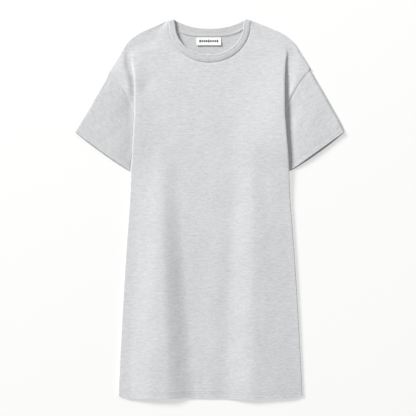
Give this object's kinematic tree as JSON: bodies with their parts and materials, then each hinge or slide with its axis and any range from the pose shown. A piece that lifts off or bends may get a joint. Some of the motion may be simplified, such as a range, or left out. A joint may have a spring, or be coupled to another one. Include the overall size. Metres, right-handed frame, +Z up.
{
  "type": "t-shirt dress laid flat",
  "caption": "Short-sleeved crew-neck t-shirt dress in grey melange jersey, laid flat front up, with drop shoulders, rib neckband, hemmed cuffs and a gently flared knee-length skirt.",
  "frame": {"origin": "middle of the dress's outline, on the surface it lies on (z = 0)", "axes": "+Y from the hem towards the neck, +X to the viewer's right, +Z up out of the front"},
  "size_m": [0.6518, 0.9152, 0.0148],
  "materials": {
    "jersey": "soft single jersey knit in light grey melange with fine slubs, matt",
    "rib": "fine 1x1 rib knit in the same grey melange, matt",
    "label": "white woven satin tape with a small grey geometric motif"
  },
  "bodies": {
    "root": {"front_panel": "jersey", "back_panel": "jersey", "sleeve_left": "jersey", "sleeve_right": "jersey", "neckband": "rib", "label": "label"}
  },
  "joints": []
}
